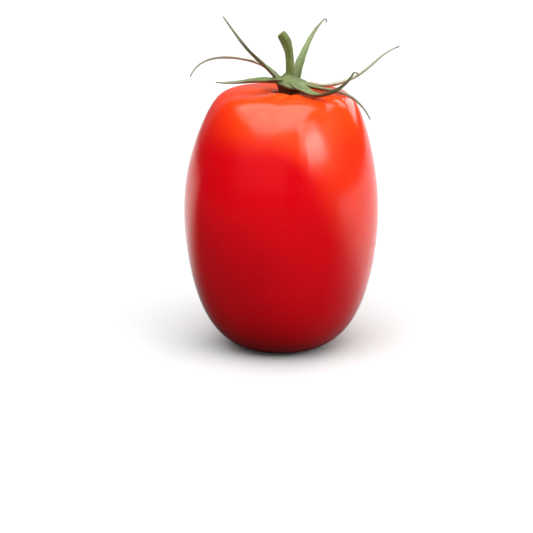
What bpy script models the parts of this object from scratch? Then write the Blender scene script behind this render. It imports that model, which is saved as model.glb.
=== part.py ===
"""A plum tomato as picked, with its calyx and stalk, standing on its blossom end.

Lengths are in metres, +Z is up from the small flat spot that the fruit rests on, and -Y is its front.
Three pieces: the fruit, the calyx with its seven sepals, and the stalk that passes down through the calyx.
"""

import math

import bmesh
import bpy
import numpy as np

MM = 0.001

# Driving dimensions of the fruit
FRUIT_RADIUS = 25.0 * MM
FRUIT_HEIGHT = 67.0 * MM
REST_RADIUS = 7.5 * MM

# Half of the fruit's lengthwise section, from the flat spot up over the shoulder and down into the cavity,
# as shares of the widest radius and of the height. A smooth curve runs past the points between its ends.
MERIDIAN = (
    (REST_RADIUS / FRUIT_RADIUS, 0.0),
    (0.53, 0.012),
    (0.80, 0.112),
    (0.965, 0.304),
    (1.027, 0.548),
    (0.955, 0.741),
    (0.830, 0.893),
    (0.695, 0.992),
    (0.505, 1.004),
    (0.350, 1.008),
    (0.225, 1.012),
    (0.162, 0.945),
)
FRUIT_RINGS = 34
FRUIT_SIDES = 70

# Creases between the soft lobes: azimuth in degrees at the shoulder, depth as a share of the deepest,
# and half width in degrees. They swing round as they run in to the cavity, and fade out down the side.
CREASES = (
    {"azimuth": -57, "depth": 1.0, "width": 17},
    {"azimuth": -103, "depth": 0.7, "width": 14},
    {"azimuth": -165, "depth": 0.8, "width": 18},
    {"azimuth": 118, "depth": 0.6, "width": 19},
    {"azimuth": 40, "depth": 0.6, "width": 18},
)
SWIRL = math.radians(16.0)
SHOULDER_RELIEF = 0.055
SHOULDER_NOTCH = 0.6 * MM
BODY_RELIEF = 0.014

# How far along the section, from 0 at the flat spot to 1 in the cavity, each effect starts and is full
SHOULDER_SPAN = (0.42, 0.72)
CROWN_SPAN = (0.62, 0.82)
CAVITY_FADE = (1.0, 0.90)
BODY_RISE = (0.0, 0.25)
BODY_FADE = (1.0, 0.70)
SWIRL_SPAN = (0.60, 0.90)

# The body is a little three-sided, and its top leans to the right
SIDE_WANDER = 0.004
WANDER_ANGLE = 2.4
LEAN = 1.0 * MM
LEAN_START = 40.0 * MM
LEAN_POWER = 1.7

# The calyx's ring, on the axis of the cavity
CALYX_CENTRE = (LEAN + 1.0 * MM, 0.0)
RING_HEIGHT = 69.8 * MM
RING_THICKNESS = 1.4 * MM
RING_RADIUS = 4.3 * MM
RING_HOLE_RADIUS = 2.4 * MM
RING_SOFTENING = 0.4 * MM
RING_SIDES = 28

# Sepals: where each points, how far it bends sideways, and how steeply it climbs at even steps along it.
# Lengths are in millimetres and angles in degrees. Azimuth 0 is +X, 90 is +Y, and a hook curls the tip.
SEPALS = (
    {"azimuth": 176, "bend": 0, "length": 21.0, "width": 2.8, "climb": (54, 38, 47, 56, 54), "hook": 0},
    {"azimuth": 146, "bend": 15, "length": 29.0, "width": 2.5, "climb": (42, 10, 0, -15, -68), "hook": 0},
    {"azimuth": 212, "bend": -6, "length": 18.0, "width": 4.6, "climb": (6, 7, -2, 2, 12), "hook": 0},
    {"azimuth": 54, "bend": -3, "length": 20.4, "width": 3.3, "climb": (72, 58, 48, 36, 20), "hook": -150},
    {"azimuth": 12, "bend": 1, "length": 28.4, "width": 2.6, "climb": (-18, 5, 22, 50, 14), "hook": 0},
    {"azimuth": 300, "bend": 44, "length": 23.8, "width": 4.4, "climb": (-27, -6, 16, 42, 72), "hook": -150},
    {"azimuth": 338, "bend": 2, "length": 21.4, "width": 2.5, "climb": (-20, -3, -6, -40, -64), "hook": 0},
)
SEPAL_STATIONS = 28
SEPAL_COLUMNS = (-1.0, -0.5, 0.0, 0.5, 1.0)
SEPAL_ROOT_RADIUS = 3.1 * MM
SEPAL_TIP_WIDTH = 0.7 * MM
SEPAL_ROOT_SHARE = 0.85
SEPAL_TAPER = 1.2
SEPAL_THICKNESS = 0.6 * MM
SEPAL_KEEL = 0.25 * MM
SEPAL_FOLD = 0.24
HOOK_SPAN = (0.90, 1.0)

# Stalk: its foot stands just clear of the cavity's floor, and its swollen knuckle bends to the left.
# Lean is in degrees from +X towards +Z, and the radii are in millimetres, both at even steps up it.
STALK_FOOT_HEIGHT = 64.4 * MM
STALK_LENGTH = 17.7 * MM
STALK_LEAN = (88, 88, 89, 94, 103, 130)
STALK_RADII = (2.5, 2.3, 1.9, 1.55, 1.25, 1.08, 1.04, 1.05, 1.25, 1.40, 1.15)
STALK_STATIONS = 30
STALK_SIDES = 20
STALK_RIBS = 5
STALK_RIB_DEPTH = 0.05

# The broken end: further rings as shares of the last radius and millimetres beyond it
BROKEN_END = ((0.78, 0.28), (0.55, 0.10))


def clear_scene():
    for thing in list(bpy.data.objects):
        bpy.data.objects.remove(thing)


def finish(name, colour, roughness):
    """A plain finish: one colour and roughness, not metallic."""
    material = bpy.data.materials.new(name)
    material.use_nodes = True
    shader = material.node_tree.nodes["Principled BSDF"]
    shader.inputs["Base Color"].default_value = (*colour, 1.0)
    shader.inputs["Roughness"].default_value = roughness
    shader.inputs["Metallic"].default_value = 0.0
    return material


def add_object(name, shape, material, sharp_degrees=60.0):
    """A smooth-shaded object from a bmesh, with sharp edges only where the surface turns hard."""
    mesh = bpy.data.meshes.new(name)
    shape.to_mesh(mesh)
    shape.free()
    mesh.materials.append(material)
    mesh.shade_smooth()
    mesh.set_sharp_from_angle(angle=math.radians(sharp_degrees))
    piece = bpy.data.objects.new(name, mesh)
    bpy.context.scene.collection.objects.link(piece)
    return piece


def ramp(x, span):
    """0 before the span's start and 1 after its end, smooth between them. A span may run downwards."""
    start, full = span
    t = np.clip((x - start) / (full - start), 0.0, 1.0)
    return t * t * (3.0 - 2.0 * t)


def smooth_curve(points, count):
    """A uniform cubic B-spline from the first point to the last, which runs past the points between."""
    points = np.array(points, float)
    if points.ndim == 1:
        points = points[:, None]
    before = 2.0 * points[0] - points[1]
    after = 2.0 * points[-1] - points[-2]
    points = np.vstack([before, points, after])
    spans = len(points) - 3
    along = np.linspace(0.0, spans, count)
    span = np.minimum(along.astype(int), spans - 1)
    t = (along - span)[:, None]
    weights = (
        (1.0 - t) ** 3 / 6.0,
        (3.0 * t**3 - 6.0 * t**2 + 4.0) / 6.0,
        (-3.0 * t**3 + 3.0 * t**2 + 3.0 * t + 1.0) / 6.0,
        t**3 / 6.0,
    )
    return sum(weight * points[span + k] for k, weight in enumerate(weights))


def walk(start, forward, length):
    """Points at even steps from the start along the changing forward directions."""
    steps = (forward[1:] + forward[:-1]) / 2.0 * length / (len(forward) - 1)
    return start + np.vstack([np.zeros(3), np.cumsum(steps, axis=0)])


def loft(rings, alike=False):
    """Skins closed rings of points in order and caps both ends.

    With alike, each ring is a blade's upper row followed by its lower row turned round, and both faces
    are split into triangles along the same diagonals, so that a thin waved blade never crosses itself.
    """
    shape = bmesh.new()
    rows = [[shape.verts.new(point) for point in ring] for ring in rings]
    sides = len(rows[0])
    for low, high in zip(rows, rows[1:]):
        for k in range(sides):
            after = (k + 1) % sides
            if not alike:
                shape.faces.new((low[k], low[after], high[after], high[k]))
            elif k < sides // 2:
                shape.faces.new((low[k], low[after], high[after]))
                shape.faces.new((low[k], high[after], high[k]))
            else:
                shape.faces.new((low[k], low[after], high[k]))
                shape.faces.new((low[after], high[after], high[k]))
    shape.faces.new(rows[0][::-1])
    shape.faces.new(rows[-1])
    bmesh.ops.recalc_face_normals(shape, faces=shape.faces)
    return shape


def crease_depth(angle):
    """The depth of the creases at each angle, 1 in the deepest: a rounded dip at each crease's azimuth."""
    depth = np.zeros_like(angle)
    for crease in CREASES:
        away = np.angle(np.exp(1j * (angle - math.radians(crease["azimuth"]))))
        depth += crease["depth"] / np.cosh(away / math.radians(crease["width"])) ** 2
    return depth


def fruit_rings():
    """Rings of points up the fruit: its section turned about the axis, drawn in and lowered at each crease."""
    section = smooth_curve(MERIDIAN, FRUIT_RINGS)
    angle = np.linspace(0.0, 2.0 * math.pi, FRUIT_SIDES, endpoint=False)
    rings = []
    for step, (radius_share, height_share) in enumerate(section):
        along = step / (FRUIT_RINGS - 1)
        at_side = ramp(along, BODY_RISE) * ramp(along, BODY_FADE)
        at_shoulder = ramp(along, SHOULDER_SPAN) * ramp(along, CAVITY_FADE)
        at_crown = ramp(along, CROWN_SPAN) * ramp(along, CAVITY_FADE)
        crease = crease_depth(angle - SWIRL * ramp(along, SWIRL_SPAN))
        relief = (SHOULDER_RELIEF * at_shoulder + BODY_RELIEF * at_side) * crease
        wander = SIDE_WANDER * at_side * np.cos(3.0 * angle + WANDER_ANGLE)
        radius = radius_share * FRUIT_RADIUS * (1.0 - relief + wander)
        level = height_share * FRUIT_HEIGHT
        lean = LEAN * (max(0.0, level - LEAN_START) / (FRUIT_HEIGHT - LEAN_START)) ** LEAN_POWER
        height = level - SHOULDER_NOTCH * at_crown * crease
        rings.append(np.column_stack([radius * np.cos(angle) + lean, radius * np.sin(angle), height]))
    return rings


def make_fruit(material):
    return add_object("fruit", loft(fruit_rings()), material)


def midrib(sepal):
    """A sepal's midrib, walked from its root, with the blade's sideways and upward direction at each step."""
    share = np.linspace(0.0, 1.0, SEPAL_STATIONS)
    climb = smooth_curve(sepal["climb"], SEPAL_STATIONS)[:, 0] + sepal["hook"] * ramp(share, HOOK_SPAN)
    climb = np.radians(climb)
    heading = np.radians(sepal["azimuth"] + sepal["bend"] * share)
    up = np.array([0.0, 0.0, 1.0])
    level = np.column_stack([np.cos(heading), np.sin(heading), np.zeros(SEPAL_STATIONS)])
    forward = np.cos(climb)[:, None] * level + np.sin(climb)[:, None] * up
    above = np.cos(climb)[:, None] * up - np.sin(climb)[:, None] * level
    root = np.array([*CALYX_CENTRE, RING_HEIGHT]) + SEPAL_ROOT_RADIUS * level[0]
    return share, walk(root, forward, sepal["length"] * MM), np.cross(above, forward), above


def sepal_rings(sepal):
    """Cross-sections of a sepal: a shallow trough with a keel below, tapering from its root to its tip."""
    share, points, sideways, above = midrib(sepal)
    full = sepal["width"] * MM * np.minimum(1.0, SEPAL_ROOT_SHARE + share)
    width = full * (1.0 - share) ** SEPAL_TAPER + SEPAL_TIP_WIDTH * share
    across = np.array(SEPAL_COLUMNS)
    rings = []
    for point, side, lift, wide in zip(points, sideways, above, width):
        rise = SEPAL_FOLD * wide * (np.abs(across) ** 1.5 - 0.4)
        keel = SEPAL_KEEL * wide / width.max() * (1.0 - np.abs(across))
        row = point + np.outer(across * wide / 2.0, side)
        top = row + np.outer(rise + SEPAL_THICKNESS / 2.0, lift)
        bottom = row + np.outer(rise - SEPAL_THICKNESS / 2.0 - keel, lift)
        rings.append(np.vstack([top, bottom[::-1]]))
    return rings


def calyx_ring():
    """The ring that joins the sepals round the stalk: a softened section spun about the cavity's axis."""
    x, y = CALYX_CENTRE
    half = RING_THICKNESS / 2.0
    soft = RING_SOFTENING
    section = (
        (RING_HOLE_RADIUS, -half),
        (RING_RADIUS - soft, -half),
        (RING_RADIUS, -half + soft),
        (RING_RADIUS, half - 2.0 * soft),
        (RING_RADIUS - 2.0 * soft, half - 0.3 * soft),
        (RING_HOLE_RADIUS + soft, half),
        (RING_HOLE_RADIUS, half - soft),
    )
    shape = bmesh.new()
    loop = [shape.verts.new((x + radius, y, RING_HEIGHT + height)) for radius, height in section]
    edges = [shape.edges.new((loop[k - 1], loop[k])) for k in range(len(loop))]
    bmesh.ops.spin(
        shape,
        geom=loop + edges,
        cent=(x, y, RING_HEIGHT),
        axis=(0.0, 0.0, 1.0),
        angle=2.0 * math.pi,
        steps=RING_SIDES,
        use_merge=True,
    )
    bmesh.ops.remove_doubles(shape, verts=shape.verts, dist=0.001 * MM)
    bmesh.ops.recalc_face_normals(shape, faces=shape.faces)
    return shape


def make_calyx(material):
    """The ring and its sepals, joined in one body by a Boolean union."""
    calyx = add_object("calyx", calyx_ring(), material)
    blades = bpy.data.collections.new("sepals")
    bpy.context.scene.collection.children.link(blades)
    for number, sepal in enumerate(SEPALS, start=1):
        blade = add_object(f"sepal_{number}", loft(sepal_rings(sepal), alike=True), material)
        bpy.context.scene.collection.objects.unlink(blade)
        blades.objects.link(blade)
    union = calyx.modifiers.new("join_sepals", "BOOLEAN")
    union.operation = "UNION"
    union.solver = "EXACT"
    union.operand_type = "COLLECTION"
    union.collection = blades
    bpy.context.view_layer.update()
    evaluated = calyx.evaluated_get(bpy.context.evaluated_depsgraph_get())
    joined = bpy.data.meshes.new_from_object(evaluated)
    calyx.modifiers.clear()
    calyx.data = joined
    for blade in list(blades.objects):
        bpy.data.objects.remove(blade)
    bpy.data.collections.remove(blades)
    return calyx


def stalk_rings():
    """Rings up the stalk, square to its bent centreline, with soft ribs along it and a hollowed broken end."""
    lean = np.radians(smooth_curve(STALK_LEAN, STALK_STATIONS)[:, 0])
    radii = smooth_curve(STALK_RADII, STALK_STATIONS)[:, 0] * MM
    forward = np.column_stack([np.cos(lean), np.zeros(STALK_STATIONS), np.sin(lean)])
    sideways = np.column_stack([np.sin(lean), np.zeros(STALK_STATIONS), -np.cos(lean)])
    centres = walk(np.array([*CALYX_CENTRE, STALK_FOOT_HEIGHT]), forward, STALK_LENGTH)
    angle = np.linspace(0.0, 2.0 * math.pi, STALK_SIDES, endpoint=False)
    ribbed = 1.0 + STALK_RIB_DEPTH * np.cos(STALK_RIBS * angle)
    depth = np.array([0.0, 1.0, 0.0])
    around = [
        np.outer(np.cos(angle) * ribbed, side) + np.outer(np.sin(angle) * ribbed, depth) for side in sideways
    ]
    rings = [centre + radius * turn for centre, radius, turn in zip(centres, radii, around)]
    for share, beyond in BROKEN_END:
        rings.append(centres[-1] + forward[-1] * beyond * MM + radii[-1] * share * around[-1])
    return rings


def make_stalk(material):
    return add_object("stalk", loft(stalk_rings()), material)


def main():
    clear_scene()
    make_fruit(finish("tomato_skin", (0.78, 0.03, 0.015), 0.28))
    make_calyx(finish("sepal_green", (0.17, 0.25, 0.07), 0.6))
    make_stalk(finish("stalk_green", (0.22, 0.27, 0.07), 0.55))


main()
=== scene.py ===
"""The looks of an upright plum tomato: its glossy skin, seven drying sepals and snapped stalk.

Lengths are in metres. +Z is up from the flat spot that the fruit rests on, and -Y is its front.
"""

import math

import bpy
import numpy as np
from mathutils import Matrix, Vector


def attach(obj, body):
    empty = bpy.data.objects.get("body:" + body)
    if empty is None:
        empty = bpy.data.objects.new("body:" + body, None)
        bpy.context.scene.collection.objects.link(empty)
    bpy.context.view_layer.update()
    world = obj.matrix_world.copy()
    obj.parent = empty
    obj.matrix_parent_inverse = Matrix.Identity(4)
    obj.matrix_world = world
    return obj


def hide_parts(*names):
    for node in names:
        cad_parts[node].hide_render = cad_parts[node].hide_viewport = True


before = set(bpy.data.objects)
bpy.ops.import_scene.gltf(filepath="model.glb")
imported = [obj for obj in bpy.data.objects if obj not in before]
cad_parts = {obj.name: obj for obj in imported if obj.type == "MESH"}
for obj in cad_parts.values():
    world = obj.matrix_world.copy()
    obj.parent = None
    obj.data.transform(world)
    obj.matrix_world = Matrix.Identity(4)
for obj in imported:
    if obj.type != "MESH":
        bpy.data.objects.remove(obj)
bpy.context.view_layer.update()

MM = 0.001
TURN = 2.0 * math.pi

# The fruit's section, as shares of its radius and height: the same values as its solid's
FRUIT_RADIUS = 25.0 * MM
FRUIT_HEIGHT = 67.0 * MM
REST_RADIUS = 7.5 * MM
MERIDIAN = (
    (REST_RADIUS / FRUIT_RADIUS, 0.0),
    (0.53, 0.012),
    (0.80, 0.112),
    (0.965, 0.304),
    (1.027, 0.548),
    (0.955, 0.741),
    (0.830, 0.893),
    (0.695, 0.992),
    (0.505, 1.004),
    (0.350, 1.008),
    (0.225, 1.012),
    (0.162, 0.945),
)

# The fruit's creases as azimuth, depth and half width in degrees, and where they draw its skin in
CREASES = ((-57, 1.0, 17), (-103, 0.7, 14), (-165, 0.8, 18), (118, 0.6, 19), (40, 0.6, 18))
SWIRL = math.radians(16.0)
SHOULDER_RELIEF = 0.055
SHOULDER_NOTCH = 0.6 * MM
BODY_RELIEF = 0.014
SHOULDER_SPAN = (0.42, 0.72)
CROWN_SPAN = (0.62, 0.82)
CAVITY_FADE = (1.0, 0.90)
BODY_RISE = (0.0, 0.25)
BODY_FADE = (1.0, 0.70)
SWIRL_SPAN = (0.60, 0.90)
SIDE_WANDER = 0.004
WANDER_ANGLE = 2.4
LEAN = 1.0 * MM
LEAN_START = 40.0 * MM
LEAN_POWER = 1.7

# Fine relief of the skin: shallow dents, puckers round the cavity and sharper crease bottoms
DENT_DEPTH = 0.10 * MM
DENT_RISE = (0.0, 0.2)
DENT_FADE = (1.0, 0.8)
PUCKER_DEPTH = 0.025 * MM
PUCKERS = 31
PUCKER_RISE = (0.72, 0.86)
PUCKER_SPAN = (0.74, 0.82)
CORE_DEPTH = 0.14 * MM
CORE_SHARE = 0.40
CORE_DROP = 0.7
CORE_SPAN = (0.56, 0.66)
BLOSSOM_DIMPLE = 0.7 * MM
DIMPLE_SPAN = (0.45, 1.0)

# The cavity closes in round the stalk: its floor's depth, its shift to the right and its drawing in
CAVITY_FLOOR = 0.5 * MM
CAVITY_SHIFT = 1.2 * MM
CAVITY_DRAW = 0.25
CAVITY_SPAN = (0.78, 0.91)

# How far the marks of the stalk's and the blossom's places reach over the skin
STALK_MARK_REACH = 6.0 * MM
BLOSSOM_MARK_REACH = 3.0 * MM

# The plate that joins the sepals: its tilt down to the right, the sag of its front and its lobes
CALYX_CENTRE = (LEAN + 1.0 * MM, 0.0)
CALYX_TILT = 0.10
RING_HEIGHT = 69.8 * MM
RING_SECTION = (
    (1.30, 1.70),
    (1.60, 1.30),
    (1.95, 0.85),
    (2.60, 0.60),
    (3.50, 0.46),
    (4.25, 0.26),
    (4.50, -0.10),
    (4.25, -0.50),
    (3.60, -0.85),
    (2.95, -1.50),
    (2.70, -3.00),
    (2.70, -4.80),
    (2.70, -6.35),
)
RIM_SPAN = (2.2 * MM, 4.3 * MM)
ABOVE_NECK = (-2.5 * MM, -0.8 * MM)
APRON_ANGLE = math.radians(285.0)
APRON_SPREAD = 0.8
APRON_REACH = 0.8 * MM
APRON_SAG = 0.9 * MM
LOBE_RELIEF = 0.10
LOBE_SPREAD = 0.30
LOBE_MEAN = 0.6
RING_BUMP = 0.05 * MM
RING_BUMP_SPAN = (1.8 * MM, 3.0 * MM)
# Where the painted shade on the plate's neck starts and is full, below the plate
SHADE_SPAN = (-0.3 * MM, -1.2 * MM)

# Each sepal: name, azimuth, sideways bend, length, width, climbs, hook, twist, roll, wave, dryness, paleness
SEPALS = (
    ("up_left", 176, 0, 21.0, 2.7, (54, 38, 47, 56, 54), 0, 40, 0.55, 0.06, 0.3, 0.3),
    ("back_left", 146, 15, 29.0, 1.6, (42, 10, 0, -15, -68), 0, 20, 0.60, 0.08, 0.9, 0.3),
    ("flat_left", 212, -6, 18.0, 4.6, (6, 7, -2, 2, 12), 0, -14, 0.28, 0.12, 0.1, 0.0),
    ("up_right", 54, -3, 20.4, 3.3, (72, 58, 48, 36, 20), -150, 12, 0.30, 0.08, 0.0, 1.0),
    ("right", 12, 1, 28.4, 2.0, (-26, 5, 24, 50, 14), 0, 20, 0.60, 0.10, 0.8, 0.3),
    ("front_right", 300, 44, 23.8, 4.4, (-27, -6, 16, 42, 72), -150, -45, 0.26, 0.12, 0.0, 0.4),
    ("low_right", 338, 2, 21.4, 2.4, (-20, -3, -6, -40, -64), 0, -20, 0.60, 0.08, 0.5, 0.2),
)
SEPAL_ROOT_RADIUS = 3.1 * MM
SEPAL_THICKNESS = 0.42 * MM
SEPAL_TIP_WIDTH = 0.30 * MM
SEPAL_ROOT_SHARE = 0.85
SEPAL_TAPER = 1.2
SEPAL_KEEL = 0.28 * MM
KEEL_WIDTH = 0.20
SEPAL_GROOVE = 0.10 * MM
GROOVE_WIDTH = 0.14
HOOK_SPAN = (0.90, 1.0)
TWIST_SPAN = (0.15, 1.0)
ROOT_ROLL = 0.20
ROLL_SPAN = (0.1, 0.8)
WAVE_SPAN = (0.0, 0.15)
SCALLOP_DEPTH = 0.05
SCALLOP_RATE = 38.0
SCALLOP_SPAN = (0.0, 0.2)

# The stalk, as in its solid, but rooted in the cavity's floor
STALK_FOOT_HEIGHT = 64.4 * MM
STALK_LENGTH = 17.7 * MM
STALK_LEAN = (88, 88, 89, 94, 103, 130)
STALK_RADII = (2.5, 2.3, 1.9, 1.55, 1.25, 1.08, 1.04, 1.05, 1.25, 1.40, 1.15)
STALK_ROOT = 1.3 * MM
STALK_RIBS = 5
STALK_RIB_DEPTH = 0.05
STALK_FINE_RIBS = 13.0
STALK_FINE_DEPTH = 0.015
STALK_BUMP = 0.030
KNUCKLE_PLACE = 0.80
KNUCKLE_WIDTH = 0.018
KNUCKLE_DEPTH = 0.07
BROKEN_SHRINK = (0.93, 0.84, 0.74, 0.62, 0.48, 0.32, 0.16)
BROKEN_RISE = (0.16, 0.25, 0.22, 0.08, -0.02, 0.03, 0.07)
BROKEN_RAG = 0.05 * MM

# Hairs: where their second stage starts, how far they sag there and at their tips, and how deep they root
HAIR_MIDDLE = 0.55
HAIR_SAGS = (0.03, 0.12)
HAIR_ROOT = 0.05 * MM
STALK_HAIRS = 1500
STALK_HAIR_WIDTH = 0.016 * MM
STALK_HAIR_LENGTHS = (0.20, 0.60)
HAIRS_PER_SEPAL = 260
SEPAL_HAIR_WIDTH = 0.014 * MM
SEPAL_HAIR_LENGTHS = (0.14, 0.40)

# Colours of the skin
CRIMSONS = ((0.50, 0.0005, 0.0045), (0.57, 0.0008, 0.0050))
# Orange at the shoulders: partly the skin's own tone, partly painted light where the overhead light falls
# strongest
SHOULDER_LIGHT_ORANGE = (0.76, 0.0460, 0.0035)
# Painted light: the lit right side and the far left rim turn orange
LIT_SIDE_ORANGE = (0.80, 0.0460, 0.0035)
BLOTCH_RED = (0.48, 0.0030, 0.0050)
CREASE_ORANGE = (0.62, 0.040, 0.004)
RAY_ORANGE = (0.80, 0.130, 0.020)
SPECK_YELLOW = (0.95, 0.30, 0.12)
CORK_BROWN = (0.15, 0.085, 0.028)
# Painted shade in the cavity round the stalk, under the calyx
CAVITY_PAINTED_SHADE = (0.100, 0.012, 0.004)
SCAR_BROWN = (0.20, 0.10, 0.035)

# Where the skin's painted light changes, in metres: the lit shoulders' heights and the lit right side's
# slanting border
LEFT_FADE = (-0.018, -0.008)
SHOULDER_HEIGHTS = (0.0530, 0.0645)
BORDER_HIGH = 0.0495
BORDER_HIGH_SLOPE = 1.2
BORDER_LOW = 0.0490
BORDER_LOW_SLOPE = 0.40
LIT_SIDE_BORDER = (0.0050, 0.0170)
RIGHT_FADE = (0.0095, 0.0160)
LEFT_RIM_LIGHT = (-0.0200, -0.0240)

# Colours of the sepals
LEAF_GREENS = ((0.065, 0.092, 0.020), (0.115, 0.145, 0.042))
PALE_GREEN = (0.165, 0.212, 0.085)
LEAF_THREAD = (0.055, 0.075, 0.018)
# Painted shade on the sepals' lower faces
LEAF_UNDERSIDE_SHADE = (0.060, 0.070, 0.026)
VEIN_GREEN = (0.200, 0.240, 0.100)
LEAF_DOT = (0.30, 0.32, 0.18)
STRAWS = ((0.140, 0.145, 0.085), (0.460, 0.465, 0.380))
SCORCHED_BROWN = (0.075, 0.055, 0.035)
# Painted shade on the calyx's neck, under the plate
NECK_PAINTED_SHADE = (0.070, 0.025, 0.004)

# Colours of the stalk and the hairs
STALK_GREENS = ((0.095, 0.125, 0.024), (0.150, 0.190, 0.042))
STALK_THREAD = (0.060, 0.080, 0.016)
STALK_DOT = (0.30, 0.33, 0.14)
FOOT_BROWN = (0.14, 0.085, 0.020)
KNUCKLE_GREEN = (0.085, 0.100, 0.026)
BROKEN_RIM = (0.26, 0.20, 0.10)
PITH = (0.42, 0.38, 0.22)
HAIR_TONES = ((0.42, 0.45, 0.27), (0.62, 0.63, 0.48))

# The floor
FLOOR_RADIUS = 3.0
FLOOR_LEVEL = -0.1 * MM
FLOOR_CARD = ((0.035, 0.035, 0.035), (0.55, 0.55, 0.55))

# Lamps that face straight down: name, shape, x, y, height, width, depth and radiance
CEILING_LAMPS = (
    ("ceiling_oval", "ELLIPSE", -0.20, -0.20, 0.945, 1.80, 2.00, 1.6),
    ("ceiling_square", "RECTANGLE", -0.06, -0.36, 0.935, 1.50, 1.62, 1.7),
    ("ceiling_right", "ELLIPSE", 0.20, -0.60, 0.925, 1.20, 1.15, 1.1),
)

# Panels: name, azimuth, elevation, distance, width, height, radiance and whether the skin mirrors them
LIGHT_PANELS = (
    ("bridge_panel", 46, 31.5, 1.00, 0.65, 0.33, 3.0, True),
    ("spot_panel", 50.5, 22.5, 0.99, 0.43, 0.24, 5.8, True),
    ("rear_panel", 141, 25, 1.00, 0.60, 0.62, 3.0, True),
    ("front_fill", -28, 30, 1.00, 1.20, 0.80, 1.8, False),
    ("right_fill", 70, 25, 1.00, 0.70, 0.70, 2.0, False),
)
PANEL_AIM = (0.0, 0.0, 0.035)

# The camera: its elevation, distance and lens, the point it circles and how far its aim is off that point
CAMERA_ELEVATION = math.radians(15.0)
CAMERA_DISTANCE = 0.550
CAMERA_LENS = 144.1
CAMERA_MIDDLE = (0.0, 0.0, 0.034)
AIM_LEFT = 3.74 * MM
AIM_DOWN = 12.76 * MM

# Curves and grids


def ramp(x, span):
    """0 before the span's start and 1 after its end, along 3t^2 - 2t^3 between them. A span may run down."""
    start, full = span
    t = np.clip((x - start) / (full - start), 0.0, 1.0)
    return t * t * (3.0 - 2.0 * t)


def bell(x, width):
    """exp(-(x / width)^2)."""
    return np.exp(-((x / width) ** 2))


def smooth_curve(points, along):
    """A uniform cubic B-spline at shares along it: each point is a blend of four neighbouring controls."""
    points = np.array(points, float)
    if points.ndim == 1:
        points = points[:, None]
    points = np.vstack([2.0 * points[0] - points[1], points, 2.0 * points[-1] - points[-2]])
    spans = len(points) - 3
    place = np.asarray(along, float) * spans
    span = np.clip(place.astype(int), 0, spans - 1)
    t = (place - span)[..., None]
    return (
        (1.0 - t) ** 3 * points[span]
        + (3.0 * t**3 - 6.0 * t**2 + 4.0) * points[span + 1]
        + (-3.0 * t**3 + 3.0 * t**2 + 3.0 * t + 1.0) * points[span + 2]
        + t**3 * points[span + 3]
    ) / 6.0


def walk(start, forward, length):
    """Points at even steps from the start: the running sum of the forward directions' midpoints."""
    steps = (forward[1:] + forward[:-1]) / 2.0 * length / (len(forward) - 1)
    return start + np.vstack([np.zeros(3), np.cumsum(steps, axis=0)])


def waves(vectors, count, low, high, seed):
    """A smooth random field: the mean of count plane sine waves with wave numbers between low and high."""
    dice = np.random.default_rng(seed)
    heading = dice.normal(size=(count, vectors.shape[-1]))
    heading /= np.linalg.norm(heading, axis=1)[:, None]
    heading *= dice.uniform(low, high, count)[:, None]
    phase = dice.uniform(0.0, TURN, count)
    return np.sin(vectors @ heading.T + phase).mean(axis=-1) * math.sqrt(2.0)


def unit(vectors):
    """Each row divided by its length."""
    return vectors / np.linalg.norm(vectors, axis=1)[:, None]


def spread(*parts):
    """Arrays of different but matching sizes, put together as the parts of vectors on their full grid."""
    return np.stack(np.broadcast_arrays(*parts), axis=-1)


def grid_shares(rows, sides):
    """Shares from 0 to 1 down a column and angles round one turn along a row."""
    along = np.linspace(0.0, 1.0, rows)[:, None]
    return along, np.linspace(0.0, TURN, sides, endpoint=False)[None, :]


def closed_grid(rows, sides):
    """Faces of a grid of rows round a closed loop: quads, then triangles that fan to a pole at each end."""
    row = np.arange(rows - 1)[:, None] * sides
    side = np.arange(sides)[None, :]
    after = (side + 1) % sides
    quads = np.stack([row + side, row + after, row + sides + after, row + sides + side], axis=-1)
    low, high = rows * sides, rows * sides + 1
    k = np.arange(sides)
    last = (rows - 1) * sides
    first_fan = np.stack([np.full(sides, low), (k + 1) % sides, k], axis=-1)
    last_fan = np.stack([np.full(sides, high), last + k, last + (k + 1) % sides], axis=-1)
    return quads.reshape(-1, 4), np.vstack([first_fan, last_fan])


def piece_from_grid(name, points, marks, material, flip=False):
    """A smooth closed piece from a (rows, sides, 3) grid; marks are named vectors at each grid point."""
    rows, sides = points.shape[:2]
    quads, fans = closed_grid(rows, sides)
    if flip:
        quads, fans = quads[:, ::-1], fans[:, ::-1]

    def with_poles(values):
        """The grid's rows as one list, then the means of its first and last rows."""
        ends = np.stack([values[0].mean(axis=0), values[-1].mean(axis=0)])
        return np.vstack([values.reshape(-1, 3), ends])

    named = {mark: with_poles(values) for mark, values in marks.items()}
    return piece_from_arrays(name, with_poles(points), quads, fans, named, material)


def piece_from_arrays(name, vertices, quads, triangles, marks, material):
    """Puts whole arrays of vertices, four- and three-sided faces and named vectors into one mesh object."""
    mesh = bpy.data.meshes.new(name)
    mesh.vertices.add(len(vertices))
    mesh.vertices.foreach_set("co", vertices.astype(np.float32).ravel())
    corners = np.concatenate([quads.ravel(), triangles.ravel()]).astype(np.int32)
    mesh.loops.add(len(corners))
    mesh.loops.foreach_set("vertex_index", corners)
    sizes = np.concatenate([np.full(len(quads), 4), np.full(len(triangles), 3)])
    starts = np.concatenate([[0], np.cumsum(sizes)[:-1]]).astype(np.int32)
    mesh.polygons.add(len(sizes))
    mesh.polygons.foreach_set("loop_start", starts)
    for mark, values in marks.items():
        layer = mesh.attributes.new(mark, "FLOAT_VECTOR", "POINT")
        layer.data.foreach_set("vector", values.astype(np.float32).ravel())
    mesh.update(calc_edges=True)
    mesh.validate()
    mesh.shade_smooth()
    mesh.materials.append(material)
    piece = bpy.data.objects.new(name, mesh)
    bpy.context.scene.collection.objects.link(piece)
    return piece


# Shapes


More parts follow.
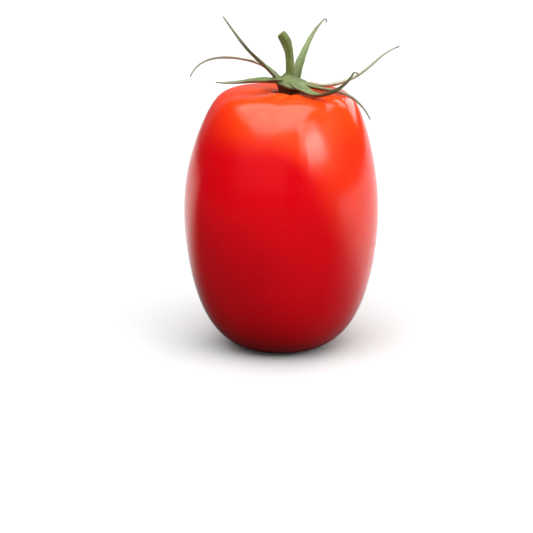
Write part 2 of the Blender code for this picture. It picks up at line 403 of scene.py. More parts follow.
def crease_depth(angle, narrowing=1.0):
    """Depth of the creases at each angle: the sum of depth / cosh^2(angle from the crease / half width).

    The half widths are multiplied by the narrowing.
    """
    depth = np.zeros_like(angle)
    for azimuth, deep, width in CREASES:
        away = np.angle(np.exp(1j * (angle - math.radians(azimuth))))
        depth += deep / np.cosh(away / math.radians(width * narrowing)) ** 2
    return depth


def fruit_skin(along, angle):
    """The section turned about the axis, drawn in and lowered by the creases, and leaning at its top.

    Radius = section radius x (1 - relief x crease + wander cos 3 angle) - dents - core depth x narrow
    crease, height = section height - notch x crease - core drop x core depth x narrow crease + puckers,
    x += lean x share of the height past its start. The cavity's wall is drawn in and shifted.
    """
    section = smooth_curve(MERIDIAN, along[:, 0])[:, None, :]
    at_side = ramp(along, BODY_RISE) * ramp(along, BODY_FADE)
    at_shoulder = ramp(along, SHOULDER_SPAN) * ramp(along, CAVITY_FADE)
    at_crown = ramp(along, CROWN_SPAN) * ramp(along, CAVITY_FADE)
    turned = angle - SWIRL * ramp(along, SWIRL_SPAN)
    crease = crease_depth(turned)
    core = crease_depth(turned, CORE_SHARE) * ramp(along, CORE_SPAN) * ramp(along, CAVITY_FADE)
    closing = ramp(along, CAVITY_SPAN)

    relief = (SHOULDER_RELIEF * at_shoulder + BODY_RELIEF * at_side) * crease
    wander = SIDE_WANDER * at_side * np.cos(3.0 * angle + WANDER_ANGLE)
    round_body = spread(np.cos(angle), np.sin(angle), 3.0 * section[..., 1])
    dents = DENT_DEPTH * (0.5 + 0.5 * waves(round_body, count=24, low=2.0, high=6.0, seed=3))
    dents = dents * ramp(along, DENT_RISE) * ramp(along, DENT_FADE)
    pucker = PUCKER_DEPTH * ramp(along, PUCKER_RISE) * ramp(along, CAVITY_FADE)
    folds = pucker * np.sin(PUCKERS * angle + 2.0 * np.sin(3.0 * angle) + 6.0 * along)

    radius = section[..., 0] * FRUIT_RADIUS * (1.0 - relief + wander) - dents - CORE_DEPTH * core
    radius = radius * (1.0 - CAVITY_DRAW * closing)
    level = section[..., 1] * FRUIT_HEIGHT
    lean = LEAN * (np.clip(level - LEAN_START, 0.0, None) / (FRUIT_HEIGHT - LEAN_START)) ** LEAN_POWER
    lean = lean + CAVITY_SHIFT * closing
    height = level - SHOULDER_NOTCH * at_crown * crease - CORE_DROP * CORE_DEPTH * core
    height = height + folds * ramp(along, PUCKER_SPAN)
    return np.stack([radius * np.cos(angle) + lean, radius * np.sin(angle), height], axis=-1), core


def make_fruit_skin(material):
    """The skin's grid, with its flat spot drawn in to a dimple below and its cavity's floor closed above.

    Each floor's ring k of n is the end ring shrunk by 1 - k/n about its centre. The dimple rises by its
    depth x a ramp of k/n, and the cavity's rings lie on straight lines to a centre below its mouth.
    """
    rows, sides, floor_rows = 250, 320, 14
    along, angle = grid_shares(rows, sides)
    body, crease = fruit_skin(along, angle)
    shrink = np.linspace(1.0, 0.0, floor_rows + 1)[1:-1][:, None, None]
    foot_centre = body[0].mean(axis=0)
    above_centre = body[-1].mean(axis=0) - [0.0, 0.0, CAVITY_FLOOR]
    below = np.array([0.0, 0.0, 1.0]) * BLOSSOM_DIMPLE * ramp(1.0 - shrink, DIMPLE_SPAN)
    below = below + shrink * (body[0] - foot_centre) + foot_centre
    above = above_centre + shrink * (body[-1] - above_centre)
    points = np.concatenate([below[::-1], body, above])

    upper = points[..., 2] > LEAN_START
    from_axis = np.hypot(points[..., 0] - CALYX_CENTRE[0] * upper, points[..., 1])
    near_stalk = np.where(upper, np.exp(-from_axis / STALK_MARK_REACH), 0.0)
    near_blossom = np.where(points[..., 2] < LEAN_START, bell(from_axis, BLOSSOM_MARK_REACH), 0.0)
    creases = np.zeros(points.shape[:2])
    creases[len(below) : len(below) + rows] = crease
    reach = np.linspace(0.0, 1.0, len(points))[:, None]
    marks = {
        "skin": np.stack([creases, near_stalk, near_blossom], axis=-1),
        "grain": spread(np.cos(angle), np.sin(angle), reach),
    }
    return piece_from_grid("fruit_skin", points, marks, material)


def sepal_blade(sepal, along, around):
    """A thin blade carried along a midrib that climbs, bends and hooks: its section is a flattened loop.

    Across = cos around, thickness = half thickness x sign(sin) |sin|^0.6; the blade is folded up by
    roll x width x (|across|^1.5 - 0.4), has a keel below and a groove above its midrib, and its edges
    wave and are shallowly scalloped.
    """
    name, azimuth, bend, length, width, climbs, hook, twist, roll, wave, _, _ = sepal
    share = along[:, 0]
    climb = np.radians(smooth_curve(climbs, share)[:, 0] + hook * ramp(share, HOOK_SPAN))
    heading = np.radians(azimuth + bend * share)
    up = np.array([0.0, 0.0, 1.0])
    level = np.column_stack([np.cos(heading), np.sin(heading), np.zeros_like(heading)])
    forward = np.cos(climb)[:, None] * level + np.sin(climb)[:, None] * up
    above = np.cos(climb)[:, None] * up - np.sin(climb)[:, None] * level
    sideways = np.cross(above, forward)
    turn = np.radians(twist) * ramp(share, TWIST_SPAN)[:, None]
    side = np.cos(turn) * sideways + np.sin(turn) * above
    lift = np.cos(turn) * above - np.sin(turn) * sideways
    outward = SEPAL_ROOT_RADIUS * (level[0] - CALYX_TILT * level[0, 0] * up)
    spine = walk(np.array([*CALYX_CENTRE, RING_HEIGHT]) + outward, forward, length * MM)

    full = width * MM * np.minimum(1.0, SEPAL_ROOT_SHARE + share)
    wide = (full * (1.0 - share) ** SEPAL_TAPER + SEPAL_TIP_WIDTH * share)[:, None]
    narrow = wide / wide.max()
    across = np.cos(around)
    face = np.sin(around)
    fold = ROOT_ROLL + (roll - ROOT_ROLL) * ramp(along, ROLL_SPAN)
    rise = fold * wide * (np.abs(across) ** 1.5 - 0.4)
    seed = sum(map(ord, name))
    wander = waves(spread(16.0 * along, 1.5 * across), count=10, low=0.6, high=1.4, seed=seed)
    rise = rise + wave * wide * wander * np.abs(across) ** 2 * ramp(along, WAVE_SPAN)
    thick = SEPAL_THICKNESS / 2.0 * (0.55 + 0.45 * narrow) * np.sign(face) * np.abs(face) ** 0.6
    keel = SEPAL_KEEL * narrow * bell(across, KEEL_WIDTH) * (face < 0)
    groove = SEPAL_GROOVE * narrow * bell(across, GROOVE_WIDTH) * (face > 0)
    scallop = SCALLOP_DEPTH * np.sin(SCALLOP_RATE * along + seed) * ramp(along, SCALLOP_SPAN)
    edge = across * wide / 2.0 * (1.0 + scallop)
    offset = rise + thick - keel - groove
    points = spine[:, None, :] + edge[..., None] * side[:, None, :] + offset[..., None] * lift[:, None, :]
    return points, across, face


def make_sepal(sepal, material):
    """One sepal's closed blade, marked with its share along, its place across and its face, up or down."""
    name, length, width, dryness, paleness = sepal[0], sepal[3], sepal[4], sepal[10], sepal[11]
    along, around = grid_shares(rows=110, sides=26)
    points, across, face = sepal_blade(sepal, along, around)
    marks = {
        "blade": spread(along, across, face),
        "grain": spread(across, 0.4 * face, along * length / width),
        "wear_and_shade": np.array([dryness, paleness, 0.0]) * np.ones_like(points),
    }
    return piece_from_grid(f"sepal_{name}", points, marks, material, flip=True)


def make_calyx_ring(material):
    """The plate that joins the sepals, spun about the cavity's axis: it hugs the stalk, and its neck
    stands in the cavity.

    Its section is a smooth curve through (radius, height) points; seven shallow lobes follow the sepals,
    the plate tilts down to the right, and its front sags by sag x exp(-(angle from the front / spread)^2).
    """
    along, angle = grid_shares(rows=60, sides=140)
    profile = smooth_curve(RING_SECTION, along[:, 0]) * MM
    radius, level = profile[:, :1], profile[:, 1:]
    lobes = sum(bell(np.angle(np.exp(1j * (angle - math.radians(s[1])))), LOBE_SPREAD) for s in SEPALS)
    apron = bell(angle - APRON_ANGLE, APRON_SPREAD) * ramp(radius, RIM_SPAN) * ramp(level, ABOVE_NECK)
    out = radius * (1.0 + LOBE_RELIEF * (lobes - LOBE_MEAN) * ramp(radius, RIM_SPAN))
    out = out + APRON_REACH * apron
    rough_turn = np.stack([np.cos(angle), np.sin(angle)], axis=-1) * 5.0
    bumps = RING_BUMP * waves(rough_turn, count=14, low=0.5, high=2.5, seed=8)
    height = RING_HEIGHT + level + bumps * ramp(radius, RING_BUMP_SPAN)
    height = height - CALYX_TILT * out * np.cos(angle) * ramp(level, ABOVE_NECK)
    height = height - APRON_SAG * apron
    points = spread(CALYX_CENTRE[0] + out * np.cos(angle), CALYX_CENTRE[1] + out * np.sin(angle), height)
    upper = np.where(along < 0.50, 1.0, -1.0) + 0.0 * angle
    marks = {
        "blade": spread(0.02, 0.9, upper),
        "grain": spread(3.0 * np.cos(angle), 3.0 * np.sin(angle), 900.0 * out),
        # Its third part is painted shade on the neck below the plate
        "wear_and_shade": spread(0.0, 0.0, ramp(level, SHADE_SPAN) + 0.0 * angle),
    }
    return piece_from_grid("calyx_ring", points, marks, material, flip=True)


def stalk_frame(along):
    """The stalk's centreline, sideways direction and radius at each share along it, foot to broken end."""
    fine = np.linspace(0.0, 1.0, 400)
    lean = np.radians(smooth_curve(STALK_LEAN, fine)[:, 0])
    forward = np.column_stack([np.cos(lean), np.zeros_like(lean), np.sin(lean)])
    line = walk(np.array([*CALYX_CENTRE, STALK_FOOT_HEIGHT]), forward, STALK_LENGTH)
    centre = np.column_stack([np.interp(along, fine, line[:, axis]) for axis in range(3)])
    lean = np.interp(along, fine, lean)
    ahead = np.column_stack([np.cos(lean), np.zeros_like(lean), np.sin(lean)])
    aside = np.column_stack([np.sin(lean), np.zeros_like(lean), -np.cos(lean)])
    return centre, ahead, aside, smooth_curve(STALK_RADII, along)[:, 0] * MM


def stalk_surface(along, angle):
    """A ribbed tube round the bent centreline, with a swollen knuckle.

    Radius = section radius x (1 + rib depth cos 5 angle + fine depth cos(13 angle + twist) + bumps
    - knuckle groove).
    """
    centre, ahead, aside, radius = stalk_frame(along[:, 0])
    fine_ribs = STALK_FINE_DEPTH * np.cos(STALK_FINE_RIBS * angle + 4.0 * along)
    ribs = 1.0 + STALK_RIB_DEPTH * np.cos(STALK_RIBS * angle) + fine_ribs
    place = spread(np.cos(angle), np.sin(angle), 9.0 * along)
    ribs = ribs + STALK_BUMP * waves(place, count=20, low=1.0, high=4.0, seed=11)
    groove = KNUCKLE_DEPTH * bell(along - KNUCKLE_PLACE, KNUCKLE_WIDTH)
    out = radius[:, None] * (ribs - groove * (0.6 + 0.4 * np.sin(angle)))
    depth = np.array([0.0, 1.0, 0.0])
    turned = np.cos(angle)[..., None] * aside[:, None, :] + np.sin(angle)[..., None] * depth
    return centre[:, None, :] + out[..., None] * turned, ahead


def make_stalk(material):
    """The stalk's tube, let into the cavity's floor, with a broken end that dips to a ragged pith."""
    rows = 150
    along, angle = grid_shares(rows, sides=64)
    tube, ahead = stalk_surface(along, angle)
    foot = tube[:1] - [0.0, 0.0, STALK_ROOT]
    end_centre = tube[-1].mean(axis=0)
    shrink = np.array(BROKEN_SHRINK)[:, None, None]
    rise = np.array(BROKEN_RISE)[:, None, None] * MM
    rim = np.stack([np.cos(angle), np.sin(angle)], axis=-1) * 4.0
    ragged = BROKEN_RAG * waves(rim, count=12, low=0.5, high=3.0, seed=5)[..., None]
    end = end_centre + shrink * (tube[-1] - end_centre) + ahead[-1] * (rise + ragged * (1.0 - shrink) * 2.0)
    points = np.concatenate([foot, tube, end])
    reach = np.concatenate([[0.0], along[:, 0], np.full(len(end), 1.0)])[:, None]
    broken = np.concatenate([np.zeros(rows + 1), np.linspace(0.3, 1.0, len(end))])[:, None]
    marks = {
        "stem": spread(reach, broken + 0.0 * angle, 0.0),
        "grain": spread(np.cos(angle), np.sin(angle), 6.0 * reach),
    }
    return piece_from_grid("stalk_stem", points, marks, material, flip=True)


def hairs(name, roots, directions, lengths, width, material):
    """Short tapering hairs: three-sided cones in two stages that droop a little towards their tips."""
    helper = np.where(np.abs(directions[:, 2:]) < 0.8, [[0.0, 0.0, 1.0]], [[1.0, 0.0, 0.0]])
    first = unit(np.cross(directions, helper))
    second = np.cross(directions, first)
    turn = np.arange(3) * TURN / 3.0
    ring = np.cos(turn)[None, :, None] * first[:, None, :] + np.sin(turn)[None, :, None] * second[:, None, :]
    reach = lengths[:, None]
    droop = np.array([0.0, 0.0, -1.0])
    middle = roots + directions * reach * HAIR_MIDDLE + droop * reach * HAIR_SAGS[0]
    tip = roots + directions * reach + droop * reach * HAIR_SAGS[1]
    low = roots[:, None, :] - directions[:, None, :] * HAIR_ROOT + ring * width
    high = middle[:, None, :] + ring * width * HAIR_MIDDLE
    vertices = np.concatenate([low, high, tip[:, None, :]], axis=1).reshape(-1, 3)
    base = (np.arange(len(roots)) * 7)[:, None, None]
    quads = (base + np.array([[0, 1, 4, 3], [1, 2, 5, 4], [2, 0, 3, 5]])).reshape(-1, 4)
    triangles = (base + np.array([[3, 4, 6], [4, 5, 6], [5, 3, 6], [2, 1, 0]])).reshape(-1, 3)
    return piece_from_arrays(name, vertices, quads, triangles, {}, material)


def make_stalk_hairs(material):
    """Hairs at random places on the stalk, leaning out from its skin and a little up it."""
    dice = np.random.default_rng(21)
    along = dice.uniform(0.30, 0.97, STALK_HAIRS)
    angle = dice.uniform(0.0, TURN, STALK_HAIRS)
    centre, ahead, aside, radius = stalk_frame(along)
    outward = np.cos(angle)[:, None] * aside + np.sin(angle)[:, None] * np.array([0.0, 1.0, 0.0])
    direction = unit(outward + 0.25 * ahead + dice.normal(0.0, 0.25, (STALK_HAIRS, 3)))
    roots = centre + outward * (radius * 0.99)[:, None]
    lengths = dice.uniform(*STALK_HAIR_LENGTHS, STALK_HAIRS) * MM
    return hairs("stalk_hairs", roots, direction, lengths, STALK_HAIR_WIDTH, material)


def make_sepal_hairs(material):
    """Hairs along the edges and lower faces of the sepals, leaning outwards and towards the tip."""
    dice = np.random.default_rng(22)
    column = (HAIRS_PER_SEPAL, 1)
    roots, directions = [], []
    for sepal in SEPALS:
        along = np.sort(dice.uniform(0.02, 0.93, HAIRS_PER_SEPAL))[:, None]
        edge = dice.choice([0.0, math.pi], column) + dice.normal(0.0, 0.25, column)
        under = dice.uniform(-math.pi, 0.0, column)
        around = np.where(dice.random(column) < 0.6, edge, under)
        grid = np.hstack([around, np.zeros(column), np.full(column, math.pi)])
        points, _, _ = sepal_blade(sepal, along, grid)
        middle = (points[:, 1] + points[:, 2]) / 2.0
        outward = unit(points[:, 0] - middle)
        ahead = unit(np.gradient(middle, axis=0))
        lean = dice.normal(0.0, 0.2, (HAIRS_PER_SEPAL, 3))
        roots.append(points[:, 0])
        directions.append(unit(outward + 0.35 * ahead + lean))
    roots, directions = np.vstack(roots), np.vstack(directions)
    lengths = dice.uniform(*SEPAL_HAIR_LENGTHS, len(roots)) * MM
    return hairs("sepal_hairs", roots, directions, lengths, SEPAL_HAIR_WIDTH, material)


# Material building


def add(tree, kind, values=None, **settings):
    """A shader node with its settings. Its inputs are numbers, colours or the sockets that feed them."""
    node = tree.nodes.new(kind)
    for setting, value in settings.items():
        setattr(node, setting, value)
    for key, value in (values or {}).items():
        if isinstance(value, bpy.types.NodeSocket):
            tree.links.new(value, node.inputs[key])
        else:
            node.inputs[key].default_value = value
    return node


def opaque(tone):
    """A colour's socket as it is, or its three numbers with a full alpha."""
    return tone if isinstance(tone, bpy.types.NodeSocket) else (*tone, 1.0)


def mixed(tree, factor, first, second):
    """A colour that goes from the first to the second as the factor goes from 0 to 1."""
    values = {0: factor, 6: opaque(first), 7: opaque(second)}
    return add(tree, "ShaderNodeMix", values, data_type="RGBA").outputs[2]


def worked(tree, operation, first, second=0.0, clamp=False):
    """The result of one sum on two values."""
    node = add(tree, "ShaderNodeMath", {0: first, 1: second}, operation=operation, use_clamp=clamp)
    return node.outputs[0]


def plus(tree, first, second, clamp=False):
    """Two values added."""
    return worked(tree, "ADD", first, second, clamp)


def times(tree, first, second):
    """Two values multiplied."""
    return worked(tree, "MULTIPLY", first, second)


def tinted(tree, tone, factor, share, tint):
    """The tone carried towards the tint by the factor times the share."""
    return mixed(tree, times(tree, factor, share), tone, tint)


def mapped(tree, value, low, high, to_low=0.0, to_high=1.0):
    """The value carried smoothly from the range low..high to the range to_low..to_high, and held past it."""
    values = {"Value": value, "From Min": low, "From Max": high, "To Min": to_low, "To Max": to_high}
    return add(tree, "ShaderNodeMapRange", values, interpolation_type="SMOOTHSTEP").outputs[0]


def new_group(name, **inputs):
    """A node group with named inputs and a mask as its output: its tree, its given sockets and its result.

    An input's value is its default, or None for a vector.
    """
    tree = bpy.data.node_groups.new(name, "ShaderNodeTree")
    for label, default in inputs.items():
        kind = "NodeSocketVector" if default is None else "NodeSocketFloat"
        socket = tree.interface.new_socket(label, in_out="INPUT", socket_type=kind)
        if default is not None:
            socket.default_value = default
    tree.interface.new_socket("Mask", in_out="OUTPUT", socket_type="NodeSocketFloat")
    return tree, add(tree, "NodeGroupInput").outputs, add(tree, "NodeGroupOutput").inputs["Mask"]


def soft_blotches():
    """Broad uneven ripening: stretched noise, its middle range spread over 0 to 1."""
    tree, given, mask = new_group("soft_blotches", Vector=None, Scale=60.0, Low=0.35, High=0.65)
    values = {"Vector": given["Vector"], "Scale": given["Scale"], "Detail": 3.0}
    noise = add(tree, "ShaderNodeTexNoise", values).outputs["Fac"]
    tree.links.new(mapped(tree, noise, given["Low"], given["High"]), mask)
    return tree


def fine_flecks():
    """Small round flecks at the cells of a Voronoi pattern, most of them left out at random."""
    tree, given, mask = new_group("fine_flecks", Vector=None, Scale=900.0, Size=0.2, Share=0.4)
    cells = add(tree, "ShaderNodeTexVoronoi", {"Vector": given["Vector"], "Scale": given["Scale"]})
    near = mapped(tree, cells.outputs["Distance"], given["Size"], 0.02)
    pick = add(tree, "ShaderNodeSeparateColor", {"Color": cells.outputs["Color"]}).outputs[0]
    tree.links.new(times(tree, near, worked(tree, "LESS_THAN", pick, given["Share"])), mask)
    return tree


def plant_fibres():
    """Fibres along a stem or blade: noise that is fine across the grain and long along it."""
    tree, given, mask = new_group("plant_fibres", Grain=None, Fineness=8.0, Length=0.4)
    parts = add(tree, "ShaderNodeSeparateXYZ", {"Vector": given["Grain"]}).outputs
    across = times(tree, parts[0], given["Fineness"])
    beside = times(tree, parts[1], given["Fineness"])
    along = times(tree, parts[2], given["Length"])
    place = add(tree, "ShaderNodeCombineXYZ", {0: across, 1: beside, 2: along}).outputs[0]
    values = {"Vector": place, "Scale": 1.0, "Detail": 4.0, "Roughness": 0.6}
    noise = add(tree, "ShaderNodeTexNoise", values).outputs["Fac"]
    tree.links.new(mapped(tree, noise, 0.3, 0.7), mask)
    return tree


def use(tree, group, **values):
    """The mask of a group placed in a material with its own values."""
    return add(tree, "ShaderNodeGroup", values, node_tree=group).outputs["Mask"]


def new_material(name, constants):
    """A material with its Principled shader's plain values set on their own sockets."""
    material = bpy.data.materials.new(name)
    material.use_nodes = True
    shader = material.node_tree.nodes["Principled BSDF"]
    for socket, value in constants.items():
        shader.inputs[socket].default_value = value
    return material, material.node_tree, shader


def object_place(tree):
    """The place on the object, in metres."""
    return add(tree, "ShaderNodeTexCoord").outputs["Object"]


def mark(tree, name):
    """A vector that the piece's own mesh carries, and its three parts."""
    vector = add(tree, "ShaderNodeAttribute", attribute_name=name).outputs["Vector"]
    return vector, add(tree, "ShaderNodeSeparateXYZ", {"Vector": vector}).outputs


def bump(tree, shader, height, strength, distance):
    """Relief in the shader's normals: its height runs from 0 to 1 and stands for the distance."""
    node = add(tree, "ShaderNodeBump", {"Height": height, "Strength": strength, "Distance": distance})
    tree.links.new(node.outputs["Normal"], shader.inputs["Normal"])


def painted_light_side(tree, x, z):
    """Painted light on the lit right side: 0 to 1 over a border in x that slants with height, then fainter
    further right.

    It is faint again at the far left, as a painted rim light.
    """
    rise = worked(tree, "MAXIMUM", worked(tree, "SUBTRACT", z, BORDER_HIGH), 0.0)
    fall = worked(tree, "MINIMUM", worked(tree, "SUBTRACT", z, BORDER_LOW), 0.0)
    border = plus(tree, x, times(tree, rise, BORDER_HIGH_SLOPE))
    border = plus(tree, border, times(tree, fall, BORDER_LOW_SLOPE))
    lit_side = mapped(tree, border, *LIT_SIDE_BORDER)
    lit_side = times(tree, lit_side, mapped(tree, x, *RIGHT_FADE, 1.0, 0.62))
    return plus(tree, lit_side, mapped(tree, x, *LEFT_RIM_LIGHT, 0.0, 0.6))


def tomato_skin(blotches, flecks, fibres):
    """Glossy ripe skin: crimson body, orange at the shoulders (partly its own tone, partly painted light),
    painted light on the lit right side, painted shade in the cavity, corky at both ends.
    """
    constants = {
        "Metallic": 0.0,
        "IOR": 1.45,
        "Subsurface Weight": 0.06,
        "Subsurface Radius": (1.0, 0.25, 0.12),
        "Subsurface Scale": 0.003,
    }
    material, tree, shader = new_material("tomato_skin", constants)
    place = object_place(tree)
    x, _, z = add(tree, "ShaderNodeSeparateXYZ", {"Vector": place}).outputs
    _, (crease, near_stalk, near_blossom) = mark(tree, "skin")
    grain, _ = mark(tree, "grain")

    broad = use(tree, blotches, Vector=place, Scale=45.0, Low=0.30, High=0.70)
    small = use(tree, blotches, Vector=place, Scale=260.0, Low=0.35, High=0.70)
    # Painted light at the shoulders: orange where the overhead light falls, weaker on the dimmer left
    left_fade = mapped(tree, x, *LEFT_FADE, 0.40, 1.0)
    lit_shoulder = times(tree, mapped(tree, z, *SHOULDER_HEIGHTS), left_fade)
    tone = mixed(tree, lit_shoulder, mixed(tree, broad, *CRIMSONS), SHOULDER_LIGHT_ORANGE)
    # Painted light: orange on the lit right side, and a painted rim light at the far left
    tone = tinted(tree, tone, painted_light_side(tree, x, z), 0.85, LIT_SIDE_ORANGE)
    tone = tinted(tree, tone, small, 0.12, BLOTCH_RED)
    tone = tinted(tree, tone, crease, 0.30, CREASE_ORANGE)

    streaks = use(tree, fibres, Grain=grain, Fineness=24.0, Length=1.2)
    tone = tinted(tree, tone, streaks, mapped(tree, near_stalk, 0.06, 0.34, 0.0, 0.55), RAY_ORANGE)
    specks = use(tree, flecks, Vector=place, Scale=1100.0, Size=0.22, Share=0.45)
    tone = tinted(tree, tone, specks, 0.10, SPECK_YELLOW)
    corky = mapped(tree, plus(tree, near_stalk, times(tree, streaks, 0.10)), 0.60, 0.80)
    tone = mixed(tree, corky, tone, CORK_BROWN)
    # Painted shade: the cavity's wall darkens near the stalk, where the calyx shades it
    painted_cavity_shade = mapped(tree, near_stalk, 0.53, 0.61)
    tone = mixed(tree, painted_cavity_shade, tone, CAVITY_PAINTED_SHADE)
    scar = mapped(tree, plus(tree, near_blossom, times(tree, small, 0.15)), 0.62, 0.85)
    tone = mixed(tree, scar, tone, SCAR_BROWN)
    tree.links.new(tone, shader.inputs["Base Color"])

    rough = mapped(tree, near_stalk, 0.36, 0.46, 0.155, 0.60)
    rough = plus(tree, rough, times(tree, small, 0.04))
    rough = plus(tree, rough, times(tree, plus(tree, painted_cavity_shade, scar), 0.45), clamp=True)
    tree.links.new(rough, shader.inputs["Roughness"])
    peel = add(tree, "ShaderNodeTexNoise", {"Vector": place, "Scale": 1500.0, "Detail": 2.0}).outputs["Fac"]
    relief = plus(tree, times(tree, peel, 0.5), times(tree, specks, 0.25))
    bump(tree, shader, relief, strength=0.10, distance=0.04 * MM)
    return material


def leaf_veins(tree, along, edge):
    """A midrib and slanting side veins: the crests of a sine of place along less place across."""
    slant = worked(tree, "SUBTRACT", times(tree, along, 95.0), times(tree, edge, 7.0))
    ridge = mapped(tree, worked(tree, "SINE", slant), 0.86, 1.0)
    ridge = times(tree, ridge, mapped(tree, edge, 1.0, 0.75))
    midrib = mapped(tree, edge, 0.22, 0.04)
    return worked(tree, "MAXIMUM", times(tree, ridge, 0.6), midrib)


def sepal_leaf(blotches, flecks, fibres):
    """Matt leaf: sage green above, painted shade on the lower faces and on the neck, with veins, and
    grey-brown dried tips and edges.
    """
    constants = {"Metallic": 0.0, "IOR": 1.40, "Sheen Weight": 0.08, "Sheen Roughness": 0.5}
    material, tree, shader = new_material("sepal_leaf", constants)
    place = object_place(tree)
    _, (along, across, face) = mark(tree, "blade")
    grain, _ = mark(tree, "grain")
    _, (dry, pale, shaded) = mark(tree, "wear_and_shade")
    edge = worked(tree, "ABSOLUTE", across)

    uneven = use(tree, blotches, Vector=place, Scale=420.0, Low=0.32, High=0.68)
    threads = use(tree, fibres, Grain=grain, Fineness=7.0, Length=0.9)
    leaf = mixed(tree, uneven, *LEAF_GREENS)
    leaf = mixed(tree, pale, leaf, PALE_GREEN)
    leaf = tinted(tree, leaf, threads, 0.30, LEAF_THREAD)
    # Painted shade: the lower faces are darker, less so where the sepal is dry
    below = mapped(tree, face, 0.2, -0.4)
    leaf = tinted(tree, leaf, below, mapped(tree, dry, 0.0, 1.0, 0.80, 0.10), LEAF_UNDERSIDE_SHADE)
    veins = leaf_veins(tree, along, edge)
    leaf = tinted(tree, leaf, veins, 0.40, VEIN_GREEN)
    dots = use(tree, flecks, Vector=place, Scale=3200.0, Size=0.25, Share=0.4)
    leaf = tinted(tree, leaf, dots, 0.20, LEAF_DOT)

    ragged = plus(tree, along, times(tree, uneven, 0.16))
    drying = plus(tree, ragged, times(tree, dry, 0.55))
    dried = mapped(tree, plus(tree, drying, times(tree, edge, 0.06)), 0.58, 1.05)
    leaf = tinted(tree, leaf, dried, 0.85, mixed(tree, dry, *STRAWS))
    leaf = mixed(tree, mapped(tree, ragged, 1.00, 1.14), leaf, SCORCHED_BROWN)
    # Painted shade on the neck under the plate
    leaf = mixed(tree, shaded, leaf, NECK_PAINTED_SHADE)
    tree.links.new(leaf, shader.inputs["Base Color"])
    tree.links.new(plus(tree, 0.48, times(tree, dried, 0.25)), shader.inputs["Roughness"])
    relief = plus(tree, times(tree, veins, 0.6), times(tree, threads, 0.4))
    bump(tree, shader, relief, strength=0.5, distance=0.10 * MM)
    return material


def stalk_skin(blotches, flecks, fibres):
    """Matt green stem with fine fibres, a brown tinge at its foot, a dull knuckle and a pale broken end."""
    constants = {"Metallic": 0.0, "IOR": 1.42, "Sheen Weight": 0.10, "Sheen Roughness": 0.4}
    material, tree, shader = new_material("stalk_skin", constants)
    place = object_place(tree)
    _, (along, broken, _) = mark(tree, "stem")
    grain, _ = mark(tree, "grain")

    uneven = use(tree, blotches, Vector=place, Scale=380.0, Low=0.32, High=0.68)
    threads = use(tree, fibres, Grain=grain, Fineness=9.0, Length=0.8)
    green = mixed(tree, uneven, *STALK_GREENS)
    green = tinted(tree, green, threads, 0.40, STALK_THREAD)
    dots = use(tree, flecks, Vector=place, Scale=2400.0, Size=0.28, Share=0.45)
    green = tinted(tree, green, dots, 0.25, STALK_DOT)
    foot = mapped(tree, along, 0.46, 0.30)
    green = tinted(tree, green, foot, times(tree, threads, 0.7), FOOT_BROWN)
    green = tinted(tree, green, mapped(tree, along, 0.74, 0.92), 0.45, KNUCKLE_GREEN)
    rim = mapped(tree, broken, 0.25, 0.45)
    green = mixed(tree, rim, green, BROKEN_RIM)
    green = mixed(tree, mapped(tree, broken, 0.60, 0.85), green, PITH)
    tree.links.new(green, shader.inputs["Base Color"])
    tree.links.new(plus(tree, 0.45, times(tree, rim, 0.35)), shader.inputs["Roughness"])
    relief = plus(tree, times(tree, threads, 0.7), times(tree, dots, 0.3))
    bump(tree, shader, relief, strength=0.6, distance=0.10 * MM)
    return material


def plant_hair(blotches):
    """Pale, slightly green hairs."""
    material, tree, shader = new_material("plant_hair", {"Metallic": 0.0, "Roughness": 0.45})
    uneven = use(tree, blotches, Vector=object_place(tree), Scale=900.0, Low=0.3, High=0.7)
    tree.links.new(mixed(tree, uneven, *HAIR_TONES), shader.inputs["Base Color"])
    return material


# The pieces, each in place of its solid

blotches = soft_blotches()
flecks = fine_flecks()
fibres = plant_fibres()
skin_finish = tomato_skin(blotches, flecks, fibres)
leaf_finish = sepal_leaf(blotches, flecks, fibres)
stalk_finish = stalk_skin(blotches, flecks, fibres)
hair_finish = plant_hair(blotches)


def place_piece(piece, node):
    """The piece rides with the fruit and hides its node's solid in its place."""
    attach(piece, "root")
    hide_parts(node)


place_piece(make_fruit_skin(skin_finish), "fruit")
place_piece(make_calyx_ring(leaf_finish), "calyx")
for sepal in SEPALS:
    place_piece(make_sepal(sepal, leaf_finish), "calyx")
place_piece(make_sepal_hairs(hair_finish), "calyx")
place_piece(make_stalk(stalk_finish), "stalk")
place_piece(make_stalk_hairs(hair_finish), "stalk")

# Floor, light and camera


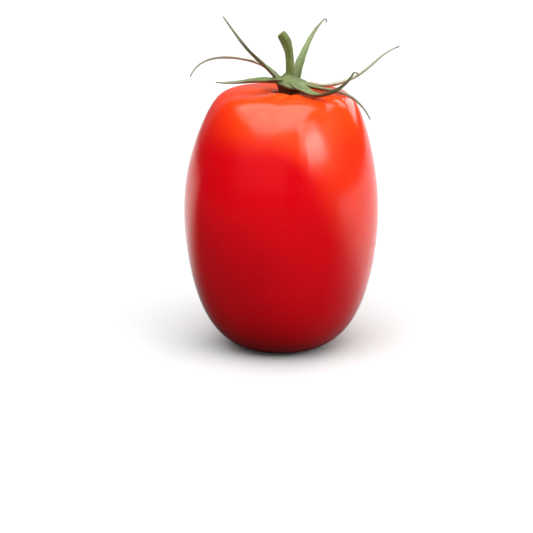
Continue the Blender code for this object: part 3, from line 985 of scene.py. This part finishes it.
def make_floor():
    """A pale disc just under the fruit, painted darker near the fruit and paler further out, to even out how
    the light falls on it. Its front half throws little light back, as a black card would.
    """
    sides = 96
    angle = np.linspace(0.0, TURN, sides, endpoint=False)
    rim = spread(FLOOR_RADIUS * np.cos(angle), FLOOR_RADIUS * np.sin(angle), FLOOR_LEVEL)
    vertices = np.vstack([rim, [[0.0, 0.0, FLOOR_LEVEL]]])
    k = np.arange(sides)
    triangles = np.stack([np.full(sides, sides), k, (k + 1) % sides], axis=-1)
    material, tree, shader = new_material("pale_floor", {"Roughness": 0.9, "Specular IOR Level": 0.1})
    place = object_place(tree)
    far = add(tree, "ShaderNodeVectorMath", {0: place}, operation="LENGTH").outputs["Value"]
    # Painted light: the floor that the camera sees is darker near the fruit, where the lamps fall strongest,
    # and paler further out
    pale = mapped(tree, far, 0.12, 0.55, 0.52, 0.85)
    white = add(tree, "ShaderNodeCombineColor", {0: pale, 1: pale, 2: pale}).outputs[0]
    tree.links.new(white, shader.inputs["Base Color"])
    toward = add(tree, "ShaderNodeVectorMath", {0: place, 1: (0.42, 0.91, 0.0)}, operation="DOT_PRODUCT")
    tone = mixed(tree, mapped(tree, toward.outputs["Value"], -0.02, 0.06), *FLOOR_CARD)
    card = add(tree, "ShaderNodeBsdfDiffuse", {"Color": tone}).outputs[0]
    seen = add(tree, "ShaderNodeLightPath").outputs["Is Camera Ray"]
    mix = add(tree, "ShaderNodeMixShader", {0: seen, 1: card, 2: shader.outputs[0]})
    tree.links.new(mix.outputs[0], tree.nodes["Material Output"].inputs["Surface"])
    floor = piece_from_arrays("floor", vertices, np.empty((0, 4), int), triangles, {}, material)


def area_lamp(name, shape, width, depth, radiance):
    """A soft light that the camera doesn't see: power = pi x area x radiance.

    An oval's area is pi/4 x its sides.
    """
    lamp = bpy.data.lights.new(name, "AREA")
    lamp.shape = shape
    lamp.size = width
    lamp.size_y = depth
    lamp.energy = math.pi * width * depth * radiance * (math.pi / 4.0 if shape == "ELLIPSE" else 1.0)
    holder = bpy.data.objects.new(name, lamp)
    holder.visible_camera = False
    bpy.context.scene.collection.objects.link(holder)
    return holder


def ceiling_lamp(name, shape, x, y, height, width, depth, radiance):
    """A soft light that faces straight down."""
    area_lamp(name, shape, width, depth, radiance).location = (x, y, height)


def light_panel(name, azimuth, elevation, distance, width, height, radiance, mirrored):
    """A soft light that faces the fruit's middle, its azimuth counted from the front to the right."""
    turn, rise = math.radians(azimuth), math.radians(elevation)
    way = Vector((math.sin(turn) * math.cos(rise), -math.cos(turn) * math.cos(rise), math.sin(rise)))
    holder = area_lamp(name, "RECTANGLE", width, height, radiance)
    holder.location = Vector(PANEL_AIM) + distance * way
    holder.rotation_euler = (-way).to_track_quat("-Z", "Y").to_euler()
    holder.visible_glossy = mirrored


def make_world():
    """A white surround to look at; to light and gloss it is dark, but for a faint band behind the fruit."""
    world = bpy.data.worlds.new("studio")
    bpy.context.scene.world = world
    world.use_nodes = True
    tree = world.node_tree
    background = tree.nodes["Background"]
    direction = add(tree, "ShaderNodeTexCoord").outputs["Generated"]
    height = add(tree, "ShaderNodeSeparateXYZ", {"Vector": direction}).outputs[2]
    values = {0: direction, 1: (-0.09, 0.996, 0.0)}
    toward = add(tree, "ShaderNodeVectorMath", values, operation="DOT_PRODUCT").outputs["Value"]
    behind = mapped(tree, toward, 0.75, 0.95, 0.0, 0.22)
    behind = plus(tree, 0.03, times(tree, behind, mapped(tree, height, 0.80, 0.50)))
    seen = add(tree, "ShaderNodeLightPath").outputs["Is Camera Ray"]
    strength = add(tree, "ShaderNodeMix", {0: seen, 2: behind, 3: 1.0}, data_type="FLOAT").outputs[0]
    background.inputs["Color"].default_value = (1.0, 1.0, 1.0, 1.0)
    tree.links.new(strength, background.inputs["Strength"])


def make_camera():
    """A long lens above the fruit's front, aimed below and to the left of its middle."""
    middle = Vector(CAMERA_MIDDLE)
    up = Vector((0.0, math.sin(CAMERA_ELEVATION), math.cos(CAMERA_ELEVATION)))
    back = Vector((0.0, -math.cos(CAMERA_ELEVATION), math.sin(CAMERA_ELEVATION)))
    place = middle + CAMERA_DISTANCE * back
    aim = middle - Vector((AIM_LEFT, 0.0, 0.0)) - up * AIM_DOWN
    lens = bpy.data.cameras.new("camera")
    lens.sensor_width = 36.0
    lens.lens = CAMERA_LENS
    lens.clip_start = 0.01
    holder = bpy.data.objects.new("camera", lens)
    holder.location = place
    holder.rotation_euler = (aim - place).to_track_quat("-Z", "Y").to_euler()
    bpy.context.scene.collection.objects.link(holder)
    bpy.context.scene.camera = holder


make_floor()
make_world()
make_camera()
for lamp in CEILING_LAMPS:
    ceiling_lamp(*lamp)
for panel in LIGHT_PANELS:
    light_panel(*panel)
bpy.context.scene.view_settings.view_transform = "Standard"
